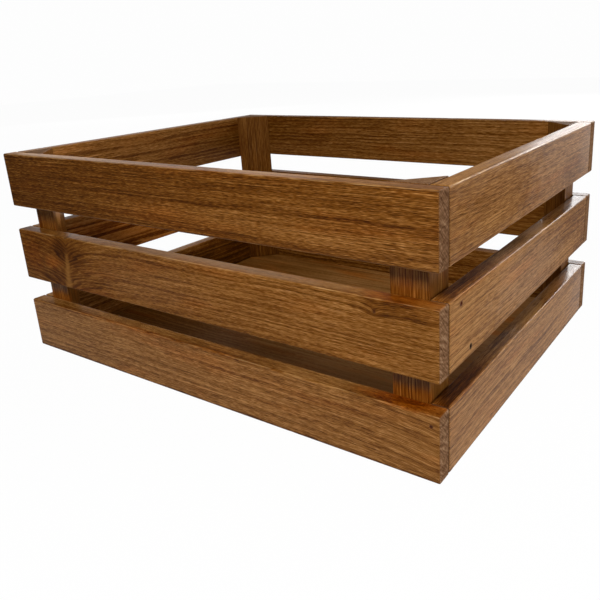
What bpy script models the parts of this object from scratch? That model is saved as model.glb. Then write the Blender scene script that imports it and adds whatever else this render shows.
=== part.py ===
# Slatted display crate in stained softwood. Metres, +Z up, front facing -Y.
# The origin is the centre of the footprint, on the surface that the crate stands on.
# Long slats lap over the ends of short slats, round triangular posts that stand on an inset base.

import math

import bmesh
import bpy

# Outside of the ring of slats
CRATE_LENGTH = 0.400
CRATE_WIDTH = 0.308

# Slats, named from the lowest up
LEVELS = ("bottom", "middle", "top")
SLAT_HEIGHT = 0.0445
SLAT_THICKNESS = 0.012
SLAT_GAP = 0.0202
SLAT_EASING = 0.0012

# Corner posts, ripped from square stock along its diagonal
POST_LEG = 0.025
POST_EASING = 0.0004

# Base panel, flush with the underside of the lowest slats
BASE_THICKNESS = 0.005
BASE_EASING = 0.0004

# Brads, all of one kind, punched a little below the face they are driven through
BRAD_LENGTH = 0.019
BRAD_SHANK_RADIUS = 0.0007
BRAD_HEAD_RADIUS = 0.0010
BRAD_HEAD_HEIGHT = 0.0008
BRAD_POINT_LENGTH = 0.0018
BRAD_SINK = 0.0006
BRAD_SIDES = 10

# Places of the brads
SHORT_BRAD_EDGE = 0.006  # from the upper or lower edge of a short slat
SHORT_BRAD_COVER = 0.0021  # wood from a brad's point to the sloping face of its post
SHORT_BRAD_STAGGER = 0.0066  # the lower brad is this much nearer to the corner
LONG_BRAD_DROP = 0.012  # from the upper edge of a long slat
BASE_BRAD_INSET = 0.005  # from the back of a post's corner
BASE_BRAD_SPACING = 0.0028  # clear of the points of the short slats' brads

# Gap between pieces that touch, and how far a cutter starts outside the wood
FIT = 0.0003
CUTTER_OVERSHOOT = 0.001
EASING_SEGMENTS = 2
EASING_ANGLE = math.radians(30)
MERGE_DISTANCE = 0.00001

# Sizes that follow from the ones above
CRATE_HEIGHT = len(LEVELS) * SLAT_HEIGHT + (len(LEVELS) - 1) * SLAT_GAP
INNER_X = CRATE_LENGTH / 2 - SLAT_THICKNESS
INNER_Y = CRATE_WIDTH / 2 - SLAT_THICKNESS
POST_FOOT = BASE_THICKNESS + FIT
BRAD_REACH = BRAD_SINK + BRAD_LENGTH - SLAT_THICKNESS - FIT  # depth of a point past a slat
SHORT_BRAD_SETBACK = {
    "upper": POST_LEG - BRAD_REACH - SHORT_BRAD_COVER,
    "lower": POST_LEG - BRAD_REACH - SHORT_BRAD_COVER - SHORT_BRAD_STAGGER,
}

# Which way each side of the crate faces
ENDS_X = {"left": -1, "right": 1}
ENDS_Y = {"front": -1, "back": 1}
OUTWARD_TURN = {
    "left": (0, -math.pi / 2, 0),
    "right": (0, math.pi / 2, 0),
    "front": (math.pi / 2, 0, 0),
    "back": (-math.pi / 2, 0, 0),
    "underside": (math.pi, 0, 0),
}


def clear_scene():
    for obj in list(bpy.data.objects):
        bpy.data.objects.remove(obj, do_unlink=True)


def new_collection(name):
    collection = bpy.data.collections.new(name)
    bpy.context.scene.collection.children.link(collection)
    return collection


def new_material(name, colour, roughness, metallic=0.0):
    material = bpy.data.materials.new(name)
    material.use_nodes = True
    shader = material.node_tree.nodes["Principled BSDF"]
    shader.inputs["Base Color"].default_value = (*colour, 1.0)
    shader.inputs["Roughness"].default_value = roughness
    shader.inputs["Metallic"].default_value = metallic
    return material


def add_piece(name, mesh, material):
    mesh.materials.clear()
    mesh.materials.append(material)
    piece = bpy.data.objects.new(name, mesh)
    piece.parent = crate
    parts.objects.link(piece)
    return piece


def ease_arrises(piece, width):
    bevel = piece.modifiers.new("eased_arrises", "BEVEL")
    bevel.width = width
    bevel.segments = EASING_SEGMENTS
    bevel.limit_method = "ANGLE"
    bevel.angle_limit = EASING_ANGLE


def block(size):
    bm = bmesh.new()
    bmesh.ops.create_cube(bm, size=1.0)
    bmesh.ops.scale(bm, vec=size, verts=bm.verts)
    return bm


def mesh_from(bm, name):
    mesh = bpy.data.meshes.new(name)
    bm.to_mesh(mesh)
    bm.free()
    return mesh


def board(name, size, centre, easing, material):
    piece = add_piece(name, mesh_from(block(size), name), material)
    piece.location = centre
    ease_arrises(piece, easing)
    return piece


def slat_bottom(level):
    return LEVELS.index(level) * (SLAT_HEIGHT + SLAT_GAP)


def long_slat(side, level):
    centre_y = ENDS_Y[side] * (CRATE_WIDTH - SLAT_THICKNESS) / 2
    centre = (0, centre_y, slat_bottom(level) + SLAT_HEIGHT / 2)
    size = (CRATE_LENGTH, SLAT_THICKNESS, SLAT_HEIGHT)
    return board(f"{side}_slat_{level}", size, centre, SLAT_EASING, slat_wood)


def short_slat(side, level):
    centre_x = ENDS_X[side] * (CRATE_LENGTH - SLAT_THICKNESS) / 2
    centre = (centre_x, 0, slat_bottom(level) + SLAT_HEIGHT / 2)
    size = (SLAT_THICKNESS, 2 * (INNER_Y - FIT), SLAT_HEIGHT)
    return board(f"{side}_slat_{level}", size, centre, SLAT_EASING, slat_wood)


def base_panel():
    size = (2 * (INNER_X - FIT), 2 * (INNER_Y - FIT), BASE_THICKNESS)
    return board("base_panel", size, (0, 0, BASE_THICKNESS / 2), BASE_EASING, base_wood)


def corner_post(end_y, end_x):
    # The half of the square stock that fills the corner stays, and the sawn face looks inwards.
    height = CRATE_HEIGHT - POST_FOOT
    bm = block((POST_LEG, POST_LEG, height))
    bmesh.ops.bisect_plane(
        bm,
        geom=[*bm.verts, *bm.edges, *bm.faces],
        dist=MERGE_DISTANCE,
        plane_co=(0, 0, 0),
        plane_no=(-ENDS_X[end_x], -ENDS_Y[end_y], 0),
        clear_outer=True,
    )
    bmesh.ops.edgeloop_fill(bm, edges=[edge for edge in bm.edges if edge.is_boundary])
    bmesh.ops.recalc_face_normals(bm, faces=bm.faces)
    name = f"corner_post_{end_y}_{end_x}"
    post = add_piece(name, mesh_from(bm, name), post_wood)
    centre_x = ENDS_X[end_x] * (INNER_X - FIT - POST_LEG / 2)
    centre_y = ENDS_Y[end_y] * (INNER_Y - FIT - POST_LEG / 2)
    post.location = (centre_x, centre_y, POST_FOOT + height / 2)
    ease_arrises(post, POST_EASING)
    return post


def profile_mesh(name, points):
    bm = bmesh.new()
    corners = [bm.verts.new((radius, 0, height)) for radius, height in points]
    for upper, lower in zip(corners, corners[1:]):
        bm.edges.new((upper, lower))
    return mesh_from(bm, name)


def brad_profile():
    # Half section from the head down to the point, with the face of the wood at height 0.
    head_under = -BRAD_SINK - BRAD_HEAD_HEIGHT
    neck = head_under - (BRAD_HEAD_RADIUS - BRAD_SHANK_RADIUS)
    point = -BRAD_SINK - BRAD_LENGTH
    return [
        (0, -BRAD_SINK),
        (BRAD_HEAD_RADIUS, -BRAD_SINK),
        (BRAD_HEAD_RADIUS, head_under),
        (BRAD_SHANK_RADIUS, neck),
        (BRAD_SHANK_RADIUS, point + BRAD_POINT_LENGTH),
        (0, point),
    ]


def brad_hole_profile():
    # The same section with a clearance, open at the face and flat at the bottom.
    head_under = -BRAD_SINK - BRAD_HEAD_HEIGHT - FIT
    neck = head_under - (BRAD_HEAD_RADIUS - BRAD_SHANK_RADIUS)
    bottom = -BRAD_SINK - BRAD_LENGTH - FIT
    return [
        (0, CUTTER_OVERSHOOT),
        (BRAD_HEAD_RADIUS + FIT, CUTTER_OVERSHOOT),
        (BRAD_HEAD_RADIUS + FIT, head_under),
        (BRAD_SHANK_RADIUS + FIT, neck),
        (BRAD_SHANK_RADIUS + FIT, bottom),
        (0, bottom),
    ]


def turn_round(piece):
    screw = piece.modifiers.new("turned", "SCREW")
    screw.axis = "Z"
    screw.angle = 2 * math.pi
    screw.steps = BRAD_SIDES
    screw.render_steps = BRAD_SIDES
    screw.use_merge_vertices = True
    screw.merge_threshold = MERGE_DISTANCE
    screw.use_smooth_shade = True


def drive_brad(name, place, face, boards):
    # A brad at a place on one outer face of the crate, with its hole in each board it enters.
    brad = add_piece(name, brad_mesh, brad_steel)
    hole = bpy.data.objects.new(f"hole_for_{name}", brad_hole_mesh)
    hole.parent = crate
    hole.hide_render = True
    hole.display_type = "WIRE"
    cutters.objects.link(hole)
    for piece in (brad, hole):
        piece.location = place
        piece.rotation_euler = OUTWARD_TURN[face]
        turn_round(piece)
    for wood in boards:
        drilled = wood.modifiers.new(f"hole_for_{name}", "BOOLEAN")
        drilled.operation = "DIFFERENCE"
        drilled.solver = "EXACT"
        drilled.object = hole


def nail_short_slats(slats, posts):
    # Two staggered brads at each end of a short slat, into the post behind it.
    for end_x, sign_x in ENDS_X.items():
        for level in LEVELS:
            rows = {
                "upper": slat_bottom(level) + SLAT_HEIGHT - SHORT_BRAD_EDGE,
                "lower": slat_bottom(level) + SHORT_BRAD_EDGE,
            }
            for end_y, sign_y in ENDS_Y.items():
                for row, height in rows.items():
                    y = sign_y * (INNER_Y - FIT - SHORT_BRAD_SETBACK[row])
                    drive_brad(
                        f"brad_{end_x}_{level}_{end_y}_{row}",
                        (sign_x * CRATE_LENGTH / 2, y, height),
                        end_x,
                        (slats[end_x, level], posts[end_y, end_x]),
                    )


def nail_long_slats(slats):
    # One brad at each end of a long slat, into the end grain of the short slat behind it.
    for end_y, sign_y in ENDS_Y.items():
        for level in LEVELS:
            height = slat_bottom(level) + SLAT_HEIGHT - LONG_BRAD_DROP
            for end_x, sign_x in ENDS_X.items():
                x = sign_x * (CRATE_LENGTH - SLAT_THICKNESS) / 2
                drive_brad(
                    f"brad_{end_y}_{level}_{end_x}",
                    (x, sign_y * CRATE_WIDTH / 2, height),
                    end_y,
                    (slats[end_y, level], slats[end_x, level]),
                )


def nail_base(base, posts):
    # One brad up through the base panel into the foot of each post.
    for end_y, sign_y in ENDS_Y.items():
        for end_x, sign_x in ENDS_X.items():
            x = sign_x * (INNER_X - FIT - BRAD_REACH - BASE_BRAD_SPACING)
            y = sign_y * (INNER_Y - FIT - BASE_BRAD_INSET)
            drive_brad(
                f"brad_base_{end_y}_{end_x}",
                (x, y, 0),
                "underside",
                (base, posts[end_y, end_x]),
            )


clear_scene()
parts = new_collection("display_crate")
cutters = new_collection("display_crate_cutters")
crate = bpy.data.objects.new("crate", None)
parts.objects.link(crate)

slat_wood = new_material("brown_stained_slats", (0.17, 0.075, 0.026), 0.45)
post_wood = new_material("brown_stained_posts", (0.14, 0.062, 0.022), 0.5)
base_wood = new_material("brown_stained_base", (0.12, 0.055, 0.022), 0.5)
brad_steel = new_material("dull_steel_brads", (0.10, 0.095, 0.09), 0.5, metallic=1.0)

brad_mesh = profile_mesh("brad", brad_profile())
brad_hole_mesh = profile_mesh("brad_hole", brad_hole_profile())

slats = {}
for level in LEVELS:
    for side in ENDS_Y:
        slats[side, level] = long_slat(side, level)
    for side in ENDS_X:
        slats[side, level] = short_slat(side, level)
posts = {(end_y, end_x): corner_post(end_y, end_x) for end_y in ENDS_Y for end_x in ENDS_X}
base = base_panel()

nail_short_slats(slats, posts)
nail_long_slats(slats)
nail_base(base, posts)
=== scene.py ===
import math

import bmesh
import bpy
from mathutils import Euler, Matrix, Vector, noise


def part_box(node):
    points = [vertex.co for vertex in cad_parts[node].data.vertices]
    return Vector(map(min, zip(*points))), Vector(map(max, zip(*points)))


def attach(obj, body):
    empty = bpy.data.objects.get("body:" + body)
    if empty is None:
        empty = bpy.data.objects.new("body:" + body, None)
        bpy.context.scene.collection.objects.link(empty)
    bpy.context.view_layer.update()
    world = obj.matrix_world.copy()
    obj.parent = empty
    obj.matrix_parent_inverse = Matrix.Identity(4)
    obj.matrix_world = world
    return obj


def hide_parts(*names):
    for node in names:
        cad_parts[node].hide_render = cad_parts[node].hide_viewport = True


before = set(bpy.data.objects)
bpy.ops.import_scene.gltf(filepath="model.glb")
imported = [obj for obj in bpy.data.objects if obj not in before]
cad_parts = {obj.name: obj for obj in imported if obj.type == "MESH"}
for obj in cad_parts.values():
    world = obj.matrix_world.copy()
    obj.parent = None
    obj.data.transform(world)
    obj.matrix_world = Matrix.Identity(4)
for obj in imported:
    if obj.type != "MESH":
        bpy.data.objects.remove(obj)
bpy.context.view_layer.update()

scene = bpy.context.scene
scene.view_settings.view_transform = "Standard"
print("frame loaded:", len(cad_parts), "nodes")


class Wire:
    # one output in a material; sums on it add Math nodes
    def __init__(self, bench, socket):
        self.bench = bench
        self.socket = socket

    def math(self, how, *others):
        return self.bench.add("ShaderNodeMath", {"operation": how}, dict(enumerate((self, *others))))

    def flipped(self, how, other):
        return self.bench.add("ShaderNodeMath", {"operation": how}, {0: other, 1: self})

    def __add__(self, other):
        return self.math("ADD", other)

    def __sub__(self, other):
        return self.math("SUBTRACT", other)

    def __rsub__(self, other):
        return self.flipped("SUBTRACT", other)

    def __mul__(self, other):
        return self.math("MULTIPLY", other)

    def __truediv__(self, other):
        return self.math("DIVIDE", other)

    def __rtruediv__(self, other):
        return self.flipped("DIVIDE", other)

    __radd__ = __add__
    __rmul__ = __mul__

    def step(self, low, high):  # 0 up to low, 1 from high on, smooth between
        ends = {"Value": self, "From Min": low, "From Max": high}
        return self.bench.add("ShaderNodeMapRange", {"interpolation_type": "SMOOTHSTEP"}, ends)

    def twin(self, name):  # another output of the same node
        return Wire(self.bench, self.socket.node.outputs[name])


class Bench:
    # the nodes of one material, or of the world
    def __init__(self, owner):
        self.owner = owner
        owner.use_nodes = True
        self.tree = owner.node_tree
        self.tree.nodes.clear()

    def add(self, kind, settings=None, sockets=None, output=0):
        node = self.tree.nodes.new(kind)
        for key, value in (settings or {}).items():
            if key == "stops":
                while len(node.color_ramp.elements) < len(value):
                    node.color_ramp.elements.new(0.5)
                for element, (place, colour) in zip(node.color_ramp.elements, value):
                    element.position = place
                    element.color = colour
            else:
                setattr(node, key, value)
        for key, value in (sockets or {}).items():
            if isinstance(value, Wire):
                self.tree.links.new(value.socket, node.inputs[key])
            else:
                node.inputs[key].default_value = value
        return Wire(self, node.outputs[output])

    def noise(self, where, scale, detail):  # about 0
        sockets = {"Vector": where, "Scale": scale, "Detail": detail}
        return self.add("ShaderNodeTexNoise", None, sockets) - 0.5

    def vector(self, how, first, second=None, output=0):
        sockets = {0: first} if second is None else {0: first, 1: second}
        return self.add("ShaderNodeVectorMath", {"operation": how}, sockets, output)

    def mix(self, share, first, second, how="MIX"):
        settings = {"data_type": "RGBA", "blend_type": how}
        return self.add("ShaderNodeMix", settings, {0: share, 6: first, 7: second}, 2)

    def finish(self, shader, output="ShaderNodeOutputMaterial"):
        self.tree.links.new(shader.socket, self.tree.nodes.new(output).inputs["Surface"])
        return self.owner

    # 1 for rays from the camera, in gloss or through glass, and 1 for rays from the camera alone
    def seenDirectly(self):
        rays = self.add("ShaderNodeLightPath", output="Is Camera Ray")
        through = rays.twin("Is Glossy Ray").math("MAXIMUM", rays.twin("Is Transmission Ray"))
        return rays.math("MAXIMUM", through), rays


def tint(red, green, blue):  # a colour read off as 0 to 255, made linear
    parts = [value / 255 for value in (red, green, blue)]
    return (*[p / 12.92 if p <= 0.04045 else ((p + 0.055) / 1.055) ** 2.4 for p in parts], 1.0)


# Stained pine, in millimetres from the middle of a board: x along the grain, -y outwards, z across.
# Each board changes what differs in its own timber.
pine = {
    "pith": (34, -70),  # where the heart of the tree lies, in y and z
    "ring": 3.4,  # width of a year's growth
    "wander": 6.0,  # slow waves in the year rings
    "ripple": 1.6,  # and quick ones
    "tone": 0.36,  # from 0, pale, to 1, dark
    "shade": (0.0, 0.0),  # darker towards either end: painted shade where the light falls off across the crate, and uneven stain
    "contrast": 0.9,
    "bands": 0.34,  # share of the year rings in the figure
    "dashes": 1.4,  # and of the short dashes
    "dashRun": 0.22,  # a lower number draws the dashes out
    "dashFine": 4.2,  # a higher one makes them finer
    "clouds": 0.34,  # how uneven the stain is
    "knots": [],
    "marks": [],
    # soft patches: where, how far they reach, and how much darker, more amber or dustier they are, or how
    # much fuller their coat is; some of them paint light, shade and sheen, as marked on each board
    "stains": [],
    "seed": 0.0,
    "stops": [
        (0.0, tint(166, 119, 68)),
        (0.3, tint(130, 86, 37)),
        (0.55, tint(100, 58, 12)),
        (0.75, tint(76, 39, 3)),
        (1.0, tint(46, 20, 1)),
    ],
    "endTone": 0.5,
    "endStops": [(0.0, tint(160, 128, 98)), (0.5, tint(116, 84, 58)), (1.0, tint(76, 50, 32))],
    "amber": tint(212, 166, 50),  # varnish lying thicker, and the painted glow of light bouncing near the posts
    "golden": 0.3,  # and how much of that there is in slow patches
    # grey dust, also laid on as a painted sheen
    "dustAndSheen": tint(150, 128, 106),
    "bareAndHighlight": tint(206, 166, 112),  # pale wood, where the stain is worn off and where a highlight is painted
    "grime": tint(66, 40, 20),  # dirt along the ends
    "rough": 0.5,
    "varnish": 0.25,  # how full the coat is
    "upper": 0.0,  # how much darker the faces that look up are: painted light and shade for how the light falls on the tops
    "upperCoat": 1.0,  # and how much fuller their coat is
    "wearAndHighlight": 0.5,  # how far the stain is worn off the arrises, with a painted highlight along the upper outer one
}

# Noises in the wood: changes a millimetre along and across the grain, detail, and a shift of its own
noises = {
    "wander": (0.011, 0.03, 2.0, 0.0),
    "ripple": (0.06, 0.16, 2.0, 7.0),
    "drift": (0.006, 0.13, 3.0, 3.0),
    "longStreaks": (0.012, 2.8, 1.0, 13.0),
    "dashes": (1.0, 11.0),  # each board gives the first two
    "fibres": (0.06, 4.0, 1.0, 5.0),
    "mottle": (0.035, 0.3, 2.0, 19.0),
    "clouds": (0.012, 0.06, 3.0, 17.0),
    "golden": (0.012, 0.07, 2.0, 37.0),
    "knotEdge": (0.12, 0.12, 2.0, 29.0),
    "patchEdge": (0.1, 0.14, 3.0, 31.0),
    "wornAndHighlit": (0.07, 0.3, 3.0, 23.0),
}

# Where soft edges start and end
fades = {
    "spike": (-6.0, 16.0),  # a sawn branch runs out upwards
    "heart": (0.2, 1.5),  # in sizes of the knot's heart
    "lateWood": (0.1, 0.75),  # in parts of a year
    "yearEnd": (0.8, 1.0),
    "patch": (0.3, 1.3),  # in parts of its reach
    "facesUp": (0.5, 0.9),
    "golden": (0.0, 0.3),
    "endGrain": (0.55, 0.8),
    "upperArris": (0.0, 5.0),
    "outerArris": (-2.0, 0.0),
    "arris": (0.3, 0.9),
    "wornAndHighlit": (-0.14, 0.16),
    "grime": (0.4, 1.0),
    "pit": (0.5, 1.1),  # in parts of its size
    "pitFloor": (1.0, 2.0),
}

# How much each of them counts
shares = {
    "drift": 3.0,
    "leastLate": 0.35,  # the palest year against the darkest
    "meanLate": 0.25,
    "fibres": 0.35,
    "mottle": 0.18,
    "knotRings": 0.35,  # round a knot the rings show more
    "knotCalm": 0.6,  # and the streaks less
    "knotEdge": 2.0,
    "otherArris": 0.3,  # rubbing on all arrises but the upper outer one
    "grime": 0.22,
    "pit": 0.9,
    "dashCoat": 0.6,  # the coat sinks into the dashes
    "endCoat": 0.9,  # and into end grain
}
endFigure = {
    "rings": 0.3, "pores": 0.6, "poreScale": 0.85, "poreDetail": 3.0,
    "flecks": 1.2, "fleckTurn": (-0.8, 0.0, 0.0), "fleckSize": (3.0, 6.0, 1.0), "fleckDetail": 1.0,
}
uneven = {"dashes": 0.25, "clouds": 0.2, "pits": 0.2}  # in roughness
relief = {"fibres": 0.5, "dashes": 0.8, "late": 0.2, "pits": 3.0, "strength": 0.15, "distance": 0.0003}

# The bare wood hardly shines: what gloss there is comes from a thin coat of varnish.
finish = {"IOR": 1.0, "Coat Roughness": 0.3, "Coat IOR": 1.45}


def stainedPine(name, centre, turn, half, own):
    wood = {**pine, **own}
    half = [size * 1000 for size in half]
    bench = Bench(bpy.data.materials.new(name))
    spot = bench.add("ShaderNodeTexCoord", output="Object")
    place = {"Vector": spot, "Location": centre, "Rotation": turn, "Scale": (0.001, 0.001, 0.001)}
    grain = bench.add("ShaderNodeMapping", {"vector_type": "TEXTURE"}, place)
    x = bench.add("ShaderNodeSeparateXYZ", None, {0: grain})
    y = x.twin("Y")
    z = x.twin("Z")
    layers = {**noises, "dashes": (wood["dashRun"], wood["dashFine"], *noises["dashes"])}

    def streaks(layer, spread=grain):  # noise about 0, drawn out along the grain
        along, across, detail, shift = layers[layer]
        seed = wood["seed"]
        size = {
            0: spread,
            1: (along, across, across),
            2: (seed + shift, 3.1 * seed + shift, 1.7 * seed - shift),
        }
        stretched = bench.add("ShaderNodeVectorMath", {"operation": "MULTIPLY_ADD"}, size)
        return bench.noise(stretched, 1.0, detail)

    # year rings round the pith, pushed about by slow waves and pulled along by knots
    pithY, pithZ = wood["pith"]
    rings = ((y - pithY) * (y - pithY) + (z - pithZ) * (z - pithZ)).math("SQRT")
    rings = rings + streaks("wander") * wood["wander"] + streaks("ripple") * wood["ripple"]
    halo = 0.0
    bent = 0.0
    swing = 0.0  # the streaks bend round knots too
    hearts = []
    for knot in wood["knots"]:
        above = z - knot["z"]
        beside = x - knot["x"] - above * knot.get("lean", 0.0)
        if "spike" in knot:  # a branch sawn along its length, wider downwards
            away = beside.math("ABSOLUTE") * (1 + above * knot["spike"])
            kept = 1 - above.step(*fades["spike"])
        else:
            away = (beside * beside + above * above).math("SQRT")
            kept = 1.0
        pull = (away * (-1 / knot["reach"])).math("EXPONENT")
        rings = rings - pull * knot["lift"]
        swing = swing + pull * math.copysign(knot["lift"], knot["lift"] * pithZ)
        bent = bent + pull
        if "heart" in knot:
            ragged = away + streaks("knotEdge") * knot["heart"] * shares["knotEdge"]
            edge = [knot["heart"] * part for part in fades["heart"]]
            hearts.append((knot, (1 - ragged.step(*edge)) * kept))
            halo = halo + pull * knot.get("halo", 0.0)
    year = rings / wood["ring"] + streaks("drift") * shares["drift"]
    chance = bench.add("ShaderNodeTexWhiteNoise", {"noise_dimensions": "1D"}, {"W": year.math("FLOOR")})
    strong = shares["leastLate"] + (1 - shares["leastLate"]) * chance
    phase = year.math("FRACT")
    late = phase.step(*fades["lateWood"]) * (1 - phase.step(*fades["yearEnd"])) * strong
    lateRise = late - shares["meanLate"]

    # long streaks, short dashes and slow clouds in the stain
    flow = bench.add("ShaderNodeCombineXYZ", None, {0: x, 1: y, 2: z + swing})
    dashes = streaks("dashes", flow)
    fibres = streaks("fibres", flow)
    mottle = streaks("mottle", flow)
    clouds = streaks("clouds")
    fine = streaks("longStreaks", flow) + dashes * wood["dashes"]
    fine = fine + fibres * shares["fibres"] + mottle * shares["mottle"]
    bands = lateRise * wood["bands"] * (1 + bent * shares["knotRings"])
    figure = bands + fine * (1 - bent * shares["knotCalm"])

    # painted shade and stain: darker towards the ends, and in patches
    ends = {"Value": x, "From Min": -half[0], "From Max": half[0]}
    ends["To Min"], ends["To Max"] = wood["shade"]
    shade = bench.add("ShaderNodeMapRange", None, ends)
    patchEdge = streaks("patchEdge") if wood["stains"] else 0.0
    patches = []
    coat = 1.0
    for stain in wood["stains"]:
        far = bench.vector("DIVIDE", bench.vector("SUBTRACT", grain, stain["at"]), stain["reach"])
        far = bench.vector("LENGTH", far, output="Value")
        patch = 1 - (far + patchEdge).step(*fades["patch"])
        patches.append((stain, patch))
        shade = shade + patch * stain.get("darker", 0.0)
        if "coat" in stain:
            coat = coat * (1 + patch * stain["coat"])
    normal = spot.twin("Normal")
    up = bench.add("ShaderNodeSeparateXYZ", None, {0: normal}, "Z").step(*fades["facesUp"])
    dark = wood["tone"] + figure * wood["contrast"] + clouds * wood["clouds"]
    # upper shifts the tone of the faces that look up: painted light and shade
    dark = dark + shade + halo + up * wood["upper"]
    colour = bench.add("ShaderNodeValToRGB", {"stops": wood["stops"]}, {"Fac": dark})
    golden = streaks("golden").step(*fades["golden"])
    colour = bench.mix(golden * wood["golden"], colour, wood["amber"], "OVERLAY")
    # amber shows where the varnish lies thicker, and by the posts it is painted glow of bounced light
    for stain, patch in patches:
        if "amber" in stain:
            colour = bench.mix(patch * stain["amber"], colour, wood["amber"], "OVERLAY")
        if "dustAndSheen" in stain:
            colour = bench.mix(patch * stain["dustAndSheen"], colour, wood["dustAndSheen"])

    # end grain shows wherever the surface faces along the grain
    axis = Euler(turn).to_matrix() @ Vector((1, 0, 0))
    facing = bench.vector("DOT_PRODUCT", normal, axis, "Value")
    endGrain = facing.math("ABSOLUTE").step(*fades["endGrain"])
    pores = bench.noise(grain, endFigure["poreScale"], endFigure["poreDetail"])
    slant = {"Vector": grain, "Rotation": endFigure["fleckTurn"], "Scale": endFigure["fleckSize"]}
    slant = bench.add("ShaderNodeMapping", {"vector_type": "TEXTURE"}, slant)
    flecks = bench.noise(slant, 1.0, endFigure["fleckDetail"])
    endDark = wood["endTone"] + lateRise * endFigure["rings"]
    endDark = endDark + pores * endFigure["pores"] + flecks * endFigure["flecks"]
    endColour = bench.add("ShaderNodeValToRGB", {"stops": wood["endStops"]}, {"Fac": endDark})
    colour = bench.mix(endGrain, colour, endColour)

    # stain worn thin along the long arrises, and a painted highlight on the upper outer one; dirt at the
    # ends
    endGap, sideGap, topGap = (size - value.math("ABSOLUTE") for size, value in zip(half, (x, y, z)))
    upperOuter = z.step(*fades["upperArris"]) * (1 - y.step(*fades["outerArris"]))
    upper = shares["otherArris"] + (1 - shares["otherArris"]) * upperOuter
    arris = 1 - sideGap.math("MAXIMUM", topGap).step(*fades["arris"])
    wornAndHighlit = arris * streaks("wornAndHighlit").step(*fades["wornAndHighlit"])
    colour = bench.mix(wornAndHighlit * upper * wood["wearAndHighlight"], colour, wood["bareAndHighlight"])
    grime = 1 - endGap.math("MAXIMUM", sideGap).step(*fades["grime"])
    colour = bench.mix(grime * shares["grime"], colour, wood["grime"])

    for knot, heart in hearts:
        colour = bench.mix(heart * knot["strength"], colour, knot["colour"])
    pits = 0.0
    for mark in wood["marks"]:  # nail holes, on the outer face only
        beside = (x - mark["x"]) / mark["wide"]
        down = (z - mark["z"]) / mark["high"]
        pit = 1 - (beside * beside + down * down).math("SQRT").step(*fades["pit"])
        pit = pit * (1 - (y + half[1]).step(*fades["pitFloor"]))
        colour = bench.mix(pit * shares["pit"], colour, mark["colour"])
        pits = pit + pits

    varnish = wood["varnish"] * (1 - dashes * shares["dashCoat"]) * (1 - endGrain * shares["endCoat"])
    varnish = varnish * (1 + up * (wood["upperCoat"] - 1)) * coat
    rough = wood["rough"] + dashes * uneven["dashes"] + clouds * uneven["clouds"] + pits * uneven["pits"]
    height = fibres * relief["fibres"] - dashes * relief["dashes"] + late * relief["late"]
    height = height - pits * relief["pits"]
    bump = {"Strength": relief["strength"], "Distance": relief["distance"], "Height": height}
    bump = bench.add("ShaderNodeBump", None, bump)
    sockets = {"Base Color": colour, "Roughness": rough, "Normal": bump, "Coat Weight": varnish, **finish}
    return bench.finish(bench.add("ShaderNodeBsdfPrincipled", None, sockets))


sideTurns = {"front": 0, "right": 90, "back": 180, "left": -90}
slatForm = {  # in metres
    "easing": 0.0012,
    "easingSteps": 4,
    "sharpFrom": 1,  # arrises turn by more than this, in radians
    "cutEvery": 0.0025,
    "wobble": 0.00018,
    "wobbleRun": 14,  # waves are longer at a lower number
    "chips": 0.0004,
    "chipRun": 160,
    "chipFrom": 0.35,  # chips are rarer at a higher one
    "pitDraft": 0.0002,
    "pitFacing": 0.98,  # faces turned further away are left uncut
}
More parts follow.
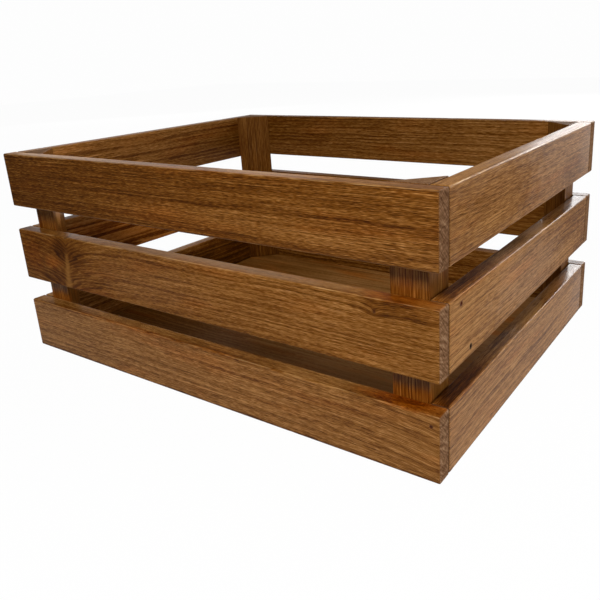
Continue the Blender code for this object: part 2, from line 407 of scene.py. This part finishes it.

# What each slat's own piece of timber looks like, in millimetres; the lowest arris is darkened with painted
# shade
lowestArrisShade = {"at": (0, -6, -23), "reach": (2000, 5, 3), "darker": 0.45}
rightTimber = {"contrast": 1.1, "dashRun": 0.14, "dashFine": 4.6, "endTone": 1.2}
leftTimber = {"endTone": 1.2}
slatWood = {
    "front_slat_top": {
        "seed": 1.3, "pith": (40, -120), "tone": 0.46, "shade": (0.26, 0.08), "contrast": 1.06,
        "bands": 0.16, "clouds": 0.08, "endTone": 0.62, "wearAndHighlight": 0.6, "upper": -0.24, "upperCoat": 1.4,
        "stains": [
            # painted sheen on the top face, lighter towards the left, and painted shade at its right end
            {"at": (-150, 2, 23), "reach": (90, 8, 4), "darker": -0.55},
            {"at": (-188, 2, 23), "reach": (26, 9, 4), "darker": -0.25},
            {"at": (80, 2, 23), "reach": (40, 8, 4), "darker": -0.2},
            {"at": (190, 2, 23), "reach": (40, 9, 4), "darker": 0.2},
            {"at": (60, -6, -8), "reach": (150, 4, 8), "darker": -0.12},
            {"at": (110, -6, 14), "reach": (100, 4, 8), "darker": 0.06},
        ],
    },
    "front_slat_middle": {
        "seed": 4.7, "pith": (30, 95), "tone": 0.42, "shade": (0.15, 0.0), "clouds": 0.2, "wearAndHighlight": 0.6,
        "varnish": 0.15, "upper": -0.08, "upperCoat": 3.0,
        "knots": [
            {
                "x": -135.7, "z": 0, "lean": 0.15, "spike": 0.02, "reach": 26, "lift": 14, "heart": 2.6,
                "halo": 0.06, "strength": 0.55, "colour": tint(146, 100, 44),
            },
            {
                "x": 159.1, "z": 13.9, "reach": 5, "lift": 4, "heart": 1.5, "strength": 0.85,
                "colour": tint(50, 22, 8),
            },
        ],
        "stains": [
            {"at": (-143, -6, 12), "reach": (9, 4, 10), "darker": 0.22},
            {"at": (-155, -6, -15), "reach": (13, 4, 8), "darker": 0.14},
            {"at": (-122, -6, 6), "reach": (12, 4, 12), "darker": 0.14},
            {"at": (-156, -6, -2), "reach": (12, 4, 6), "darker": -0.14, "amber": 0.5},
            {"at": (-184, -6, 2), "reach": (16, 4, 16), "amber": 0.35},
            # painted light and shade on the top by the post: amber glow of light bouncing off the post, and
            # darker
            {"at": (174, 0, 23), "reach": (34, 9, 3), "darker": 0.22, "amber": 0.7},
            {"at": (-40, -6, 4), "reach": (66, 4, 26), "darker": -0.04, "coat": 0.8},
            {"at": (174, -6, 17), "reach": (30, 4, 8), "darker": 0.24},
            # dust and painted sheen: the top face is greyed
            {"at": (0, 2, 23), "reach": (130, 9, 3), "dustAndSheen": 0.35},
        ],
    },
    "front_slat_bottom": {
        "seed": 9.1, "pith": (20, -62), "ring": 5.6, "tone": 0.32, "shade": (0.0, 0.08), "contrast": 1.06,
        "bands": 0.22, "clouds": 0.06, "upper": 0.03,
        "knots": [
            {"x": 222, "z": 0, "spike": 0.0, "reach": 36, "lift": -12},
            {"x": -72, "z": 26, "reach": 14, "lift": 7},
        ],
        "stains": [
            # painted light and shade on the top by the post: amber glow of light bouncing off the post, and
            # darker
            {"at": (174, 0, 23), "reach": (34, 9, 3), "darker": 0.14, "amber": 0.8},
            {"at": (-70, -6, 23), "reach": (150, 3, 3), "darker": 0.1, "amber": 0.5},
            # painted sheen at the left end of the top
            {"at": (-188, 2, 23), "reach": (22, 9, 3), "darker": -0.35},
            lowestArrisShade,
        ],
        "marks": [
            {"x": 194.4, "z": 15.0, "wide": 1.5, "high": 1.4, "deep": 0.6, "colour": tint(68, 32, 18)},
        ],
    },
    "right_slat_top": {
        **rightTimber, "seed": 12.4, "pith": (60, -90), "ring": 2.6, "tone": 0.33, "bands": 0.2,
        "wearAndHighlight": 0.95, "varnish": 0.4, "upper": -0.1, "upperCoat": 0.62,
        "stains": [
            {"at": (-20, 0, 23), "reach": (60, 9, 3), "coat": 0.8},
            {"at": (-70, -6, 0), "reach": (80, 5, 30), "darker": 0.02, "coat": -0.55},
            {"at": (90, -6, -12), "reach": (50, 5, 9), "darker": 0.12},
            {"at": (142, -6, 0), "reach": (36, 5, 30), "coat": 0.3},
        ],
    },
    "right_slat_middle": {
        **rightTimber, "seed": 15.9, "pith": (-30, 80), "ring": 3.2, "tone": 0.18, "shade": (0.0, 0.28),
        "wearAndHighlight": 0.05, "varnish": 0.22, "upper": 0.12, "upperCoat": 1.5,
        "stains": [
            # painted shade on the top near the front, under the slat above, and painted light further back
            {"at": (-112, 0, 22), "reach": (46, 9, 3), "darker": 0.3, "amber": 0.3},
            {"at": (20, 0, 23), "reach": (26, 8, 3), "darker": -0.5},
            {"at": (74, 0, 23), "reach": (42, 8, 3), "darker": -0.14, "coat": 0.6},
            {"at": (-10, -6, 0), "reach": (80, 5, 30), "darker": -0.03, "coat": 0.7},
            {"at": (76, -6, -14), "reach": (50, 5, 9), "darker": -0.18},
        ],
        "marks": [
            {"x": -126.2, "z": 16.4, "wide": 2.6, "high": 1.9, "deep": 0.5, "colour": tint(84, 36, 22)},
            {"x": -112.0, "z": -16.0, "wide": 2.1, "high": 2.6, "deep": 1.3, "colour": tint(26, 10, 5)},
        ],
    },
    "right_slat_bottom": {
        **rightTimber, "seed": 18.2, "pith": (35, -85), "ring": 3.6, "tone": 0.24, "wearAndHighlight": 0.05,
        "varnish": 0.36, "upper": 0.12, "upperCoat": 1.2,
        "stains": [
            # painted shade on the top near the front, under the slat above, and painted light further back
            {"at": (-122, 0, 22), "reach": (46, 9, 3), "darker": 0.4, "amber": 0.3},
            {"at": (5, 0, 23), "reach": (36, 8, 3), "darker": -0.36},
            {"at": (78, 0, 23), "reach": (40, 8, 3), "darker": -0.12, "coat": 0.5},
            {"at": (-60, -6, 12), "reach": (50, 5, 9), "darker": 0.1},
            {"at": (140, -6, 0), "reach": (44, 5, 30), "darker": 0.08, "coat": 0.4},
            lowestArrisShade,
        ],
    },
    # the back boards and the top left board grow darker towards the back left corner: painted shade
    "back_slat_top": {"seed": 21.5, "pith": (-36, -100), "tone": 0.31, "shade": (0.0, 0.3), "upper": -0.1},
    "back_slat_middle": {
        "seed": 24.8, "pith": (30, 88), "ring": 3.8, "tone": 0.48, "shade": (0.0, 0.14), "contrast": 0.6,
    },
    "back_slat_bottom": {
        "seed": 27.3, "pith": (26, -75), "ring": 4.1, "tone": 0.48, "shade": (0.0, 0.12),
        "stains": [lowestArrisShade],
    },
    "left_slat_top": {
        **leftTimber, "seed": 30.6, "pith": (-28, -66), "ring": 4.4, "tone": 0.32, "shade": (0.3, 0.0),
        "upper": -0.1,
    },
    "left_slat_middle": {
        **leftTimber, "seed": 33.9, "pith": (42, 92), "ring": 6.5, "tone": 0.3, "bands": 0.7,
        "stains": [{"at": (0, 6, 0), "reach": (150, 6, 40), "amber": 0.5}],
    },
    "left_slat_bottom": {
        **leftTimber, "seed": 36.2, "pith": (33, -80), "ring": 6.0, "tone": 0.38, "bands": 0.4,
        # painted shade: the inner face darkens towards the back left corner, while the top is lightened
        "upper": -0.6,
        "stains": [{"at": (-130, 5, 0), "reach": (190, 9, 44), "darker": 0.45}, lowestArrisShade],
    },
}


def punchPit(bm, mark, turned, face):
    # a slot in the outer face: four cuts round it, then the middle is set in
    out = turned @ Vector((0, -1, 0))
    spot = turned @ Vector((mark["x"] / 1000, face, mark["z"] / 1000))
    ways = [(turned @ Vector((1, 0, 0)), mark["wide"] / 2000), (Vector((0, 0, 1)), mark["high"] / 2000)]

    def outerFaces():
        return [f for f in bm.faces if f.normal.dot(out) > slatForm["pitFacing"]]

    for way, reach in ways:
        for side in (-1, 1):
            outer = outerFaces()
            edges = dict.fromkeys(e for f in outer for e in f.edges)  # each once
            verts = dict.fromkeys(v for f in outer for v in f.verts)
            bmesh.ops.bisect_plane(
                bm, geom=[*outer, *edges, *verts], dist=1e-6,
                plane_co=spot + way * side * reach, plane_no=way,
            )
    inside = [
        f for f in outerFaces()
        if all(abs((f.calc_center_median() - spot).dot(way)) < reach for way, reach in ways)
    ]
    walls = bmesh.ops.inset_region(
        bm, faces=inside, thickness=slatForm["pitDraft"], depth=-mark["deep"] / 1000, use_even_offset=True,
    )["faces"]
    return [*walls, *inside]


def makeSlat(node, own):
    side, _, level = node.split("_")
    low, high = (Vector(corner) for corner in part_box(node))
    centre = (low + high) / 2
    size = high - low
    along = 0 if size.x > size.y else 1
    across = (1 - along, 2)
    bm = bmesh.new()
    bmesh.ops.create_cube(bm, size=1.0)
    bmesh.ops.scale(bm, vec=size, verts=bm.verts)
    longEdges = [e for e in bm.edges if abs((e.verts[0].co - e.verts[1].co)[along]) > size[along] / 2]
    cuts = round(size[along] / slatForm["cutEvery"])
    bmesh.ops.subdivide_edges(bm, edges=longEdges, cuts=cuts, use_grid_fill=True)
    sharp = [e for e in bm.edges if e.calc_face_angle(0) > slatForm["sharpFrom"]]
    bmesh.ops.bevel(
        bm, geom=sharp, offset=slatForm["easing"], offset_type="OFFSET", segments=slatForm["easingSteps"],
        profile=0.5, affect="EDGES", material=-1,
    )
    # a planed board is never quite even: its arrises wander and chip, always inwards
    for vert in bm.verts:
        for axis in across:
            outwards = math.copysign(1, vert.co[axis])
            other = math.copysign(1, vert.co[across[0] if axis == 2 else 2])
            apart = own["seed"] + outwards * 3 + axis
            where = Vector((vert.co[along] * slatForm["wobbleRun"], apart, other * 5))
            dip = slatForm["wobble"] * (0.5 + 0.5 * noise.noise(where))
            where.x = vert.co[along] * slatForm["chipRun"]
            dip += slatForm["chips"] * max(0, noise.noise(where) - slatForm["chipFrom"])
            vert.co[axis] -= outwards * dip
    turn = (0, 0, math.radians(sideTurns[side]))
    pits = []
    for mark in own.get("marks", []):
        pits += punchPit(bm, mark, Euler(turn).to_matrix(), -size[across[0]] / 2)
    bmesh.ops.translate(bm, vec=centre, verts=bm.verts)
    for face in bm.faces:
        face.smooth = True
    for face in pits:
        face.smooth = False
        for edge in face.edges:
            edge.smooth = False
    mesh = bpy.data.meshes.new(node + "_board")
    bm.to_mesh(mesh)
    bm.free()
    board = bpy.data.objects.new(node + "_board", mesh)
    scene.collection.objects.link(board)
    board.modifiers.new("flatFaces", "WEIGHTED_NORMAL").keep_sharp = True
    half = (size[along] / 2, size[across[0]] / 2, size.z / 2)
    mesh.materials.append(stainedPine(node + "_stain", centre, turn, half, own))
    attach(board, "root")
    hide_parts(node, *[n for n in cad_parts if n.startswith(f"brad_{side}_{level}_")])


for node, own in slatWood.items():
    makeSlat(node, own)
print("slats dressed:", len(slatWood))


# order says which of x, y and z run along, through and across the grain
def dressNode(node, turn, order, own):
    low, high = (Vector(corner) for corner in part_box(node))
    half = [(high[axis] - low[axis]) / 2 for axis in order]
    material = stainedPine(node + "_stain", (low + high) / 2, turn, half, own)
    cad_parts[node].material_slots[0].material = material


# Posts stand with the grain upright, in fine straight lines; in the lower half of each gap they are lighter
# and more amber: painted light bouncing off the slat below, and varnish lying thicker
postGrain = {
    "wander": 2.0, "ripple": 0.5, "contrast": 1.0, "dashes": 0.9, "dashRun": 0.12, "tone": 0.52, "wearAndHighlight": 0.0,
}
paintedGapGlow = [
    {"at": (-45, -14, 0), "reach": (9, 8, 40), "darker": -0.12, "amber": 0.55},
    {"at": (20, -14, 0), "reach": (9, 8, 40), "darker": -0.04, "amber": 0.28},
]
postWood = {
    "corner_post_front_left": {
        "seed": 40.1, "pith": (40, 30), "ring": 1.5,
        # painted light: a pale patch on the sloping face, lit from the back right
        "stains": [{"at": (32, -1, -3), "reach": (13, 9, 11), "darker": -0.6}, *paintedGapGlow],
    },
    "corner_post_front_right": {"seed": 43.7, "pith": (-44, 26), "ring": 1.3, "stains": paintedGapGlow},
    # painted shade: the back left post darkens towards its foot
    "corner_post_back_left": {"seed": 46.2, "pith": (36, -40), "ring": 1.6, "shade": (0.22, 0.02)},
    "corner_post_back_right": {"seed": 49.5, "pith": (-38, -34), "ring": 1.5},
}
for node, own in postWood.items():
    dressNode(node, (0, -math.pi / 2, 0), (2, 1, 0), {**postGrain, **own})
print("posts dressed:", len(postWood))

# the base darkens towards the left: painted shade
baseWood = {
    "seed": 55.0, "pith": (-30, 18), "ring": 6.0, "wander": 12.0, "contrast": 0.7, "tone": 0.04,
    "shade": (0.4, -0.14), "wearAndHighlight": 0.0, "golden": 0.6,
}
dressNode("base_panel", (math.pi / 2, 0, 0), (0, 2, 1), baseWood)
print("base dressed")

# Wire of the brads that still show under the base
bradWire = {
    "colour": tint(120, 116, 110), "rough": 0.42, "rust": tint(96, 62, 40), "rustScale": 1800.0,
    "rustDetail": 3.0, "rustFade": (0.52, 0.7), "rustRough": 0.3, "rustDull": 0.7,
}


def dullWire():
    bench = Bench(bpy.data.materials.new("brad_wire"))
    spot = bench.add("ShaderNodeTexCoord", output="Object")
    specks = {"Vector": spot, "Scale": bradWire["rustScale"], "Detail": bradWire["rustDetail"]}
    rust = bench.add("ShaderNodeTexNoise", None, specks).step(*bradWire["rustFade"])
    colour = bench.mix(rust, bradWire["colour"], bradWire["rust"])
    rough = bradWire["rough"] + rust * bradWire["rustRough"]
    sockets = {"Base Color": colour, "Roughness": rough, "Metallic": 1 - rust * bradWire["rustDull"]}
    return bench.finish(bench.add("ShaderNodeBsdfPrincipled", None, sockets))


wire = dullWire()
for node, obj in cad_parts.items():
    if node.startswith("brad_"):
        obj.material_slots[0].material = wire
print("brads dressed")

# Camera, solved from the crate's edges in the picture; the focal length is in widths of the picture
lensSettings = {
    "place": (0.3392, -0.4402, 0.2427), "azimuth": 34.58, "elevation": 17.646, "roll": -2.831,
    "sensor": 36, "focal": 645.37 / 600, "shift": (-0.0769, -0.0746), "nearest": 0.01,
}


def makeCamera():
    azimuth, elevation, roll = (math.radians(lensSettings[key]) for key in ("azimuth", "elevation", "roll"))
    level = math.cos(elevation)
    back = Vector((math.sin(azimuth) * level, -math.cos(azimuth) * level, math.sin(elevation)))
    data = bpy.data.cameras.new("camera")
    data.sensor_width = lensSettings["sensor"]
    data.lens = lensSettings["focal"] * lensSettings["sensor"]
    data.shift_x, data.shift_y = lensSettings["shift"]
    data.clip_start = lensSettings["nearest"]
    camera = bpy.data.objects.new("camera", data)
    facing = back.to_track_quat("Z", "Y").to_matrix().to_4x4()
    rolled = Matrix.Rotation(roll, 4, "Z")
    camera.matrix_world = Matrix.Translation(lensSettings["place"]) @ facing @ rolled
    scene.collection.objects.link(camera)
    scene.camera = camera


makeCamera()
print("camera set")

# Studio: a white sweep under and behind the crate, in a dim room, with a key lamp right of the camera
white = (1.0, 1.0, 1.0, 1.0)
studio = {
    "ambient": 0.15,  # what the world adds to the light on the crate
    "white": 0.985,
    "room": 0.12,  # how bright the dim room is in reflections
    "wallFade": (0.09, 0.26),  # how steeply up the sweep ends
    "sweepFade": (-0.3, 0.1),  # and how far round to the front
    "floorSize": 8.0,
    "floorPaint": (0.85, 0.85, 0.85, 1.0),
    "floorGlow": 0.97,
    "floorFront": (-0.49, -0.87, 0.0),
    "frontFade": (0.27, 0.6),  # where the white floor ends in reflections, in metres
    "rightFade": (0.31, 0.42),
    "behindFade": (0.45, 0.9),
}
softBoxes = {
    "keyBox": {"place": (0.27, -0.58, 0.59), "size": (0.2, 0.2), "power": 5.0, "aim": (0, 0, 0.09)},
    "rightBox": {"place": (1.4, 0.2, 0.12), "size": (1.2, 0.24), "power": 6.5, "aim": (0.2, 0, 0.1)},
    "backBox": {"place": (0.3, 2.5, 0.21), "size": (1.8, 0.42), "power": 14, "aim": (0.1, 0, 0.12)},
    "backUpperBox": {"place": (0.3, 2.5, 0.77), "size": (1.8, 0.7), "power": 54, "aim": (0.1, 0, 0.12)},
    "leftBox": {"place": (-2.0, 1.6, 0.38), "size": (1.3, 0.7), "power": 5.0, "aim": (0, -0.1, 0.17)},
}


def makeFloor():
    bm = bmesh.new()
    bmesh.ops.create_grid(bm, x_segments=1, y_segments=1, size=studio["floorSize"] / 2)
    mesh = bpy.data.meshes.new("floor")
    bm.to_mesh(mesh)
    bm.free()
    floor = bpy.data.objects.new("floor", mesh)
    scene.collection.objects.link(floor)
    bench = Bench(bpy.data.materials.new("floor_white"))
    paint = bench.add("ShaderNodeBsdfDiffuse", None, {"Color": studio["floorPaint"]})
    spot = bench.add("ShaderNodeTexCoord", output="Object")
    ahead = bench.vector("DOT_PRODUCT", spot, studio["floorFront"], "Value")
    east = bench.add("ShaderNodeSeparateXYZ", None, {0: spot})
    beside = east.step(*studio["rightFade"]) * (1 - east.twin("Y").step(*studio["behindFade"]))
    faded = ahead.step(*studio["frontFade"]).math("MAXIMUM", beside)
    seen, byEye = bench.seenDirectly()
    bright = 1 - faded * (1 - byEye) * (1 - studio["room"])
    glow = bench.add("ShaderNodeEmission", None, {"Color": white, "Strength": bright})
    both = {0: seen * studio["floorGlow"], 1: paint, 2: glow}
    mesh.materials.append(bench.finish(bench.add("ShaderNodeMixShader", None, both)))


def makeLight():
    scene.world = bpy.data.worlds.new("studio")
    bench = Bench(scene.world)
    way = bench.add("ShaderNodeTexCoord", output="Generated")
    east = bench.add("ShaderNodeSeparateXYZ", None, {0: way})
    sweep = (1 - east.twin("Z").step(*studio["wallFade"])) * east.twin("Y").step(*studio["sweepFade"])
    seen, byEye = bench.seenDirectly()
    around = studio["room"] + sweep.math("MAXIMUM", byEye) * (studio["white"] - studio["room"])
    strength = studio["ambient"] + seen * (around - studio["ambient"])
    sky = bench.add("ShaderNodeBackground", None, {"Color": white, "Strength": strength})
    bench.finish(sky, "ShaderNodeOutputWorld")
    for name, box in softBoxes.items():
        data = bpy.data.lights.new(name, "AREA")
        data.shape = "RECTANGLE"
        data.size, data.size_y = box["size"]
        data.energy = box["power"]
        light = bpy.data.objects.new(name, data)
        place = Vector(box["place"])
        aim = Vector(box["aim"]) - place
        light.matrix_world = Matrix.Translation(place) @ aim.to_track_quat("-Z", "Y").to_matrix().to_4x4()
        light.visible_camera = False
        scene.collection.objects.link(light)


makeFloor()
makeLight()
print("studio ready")
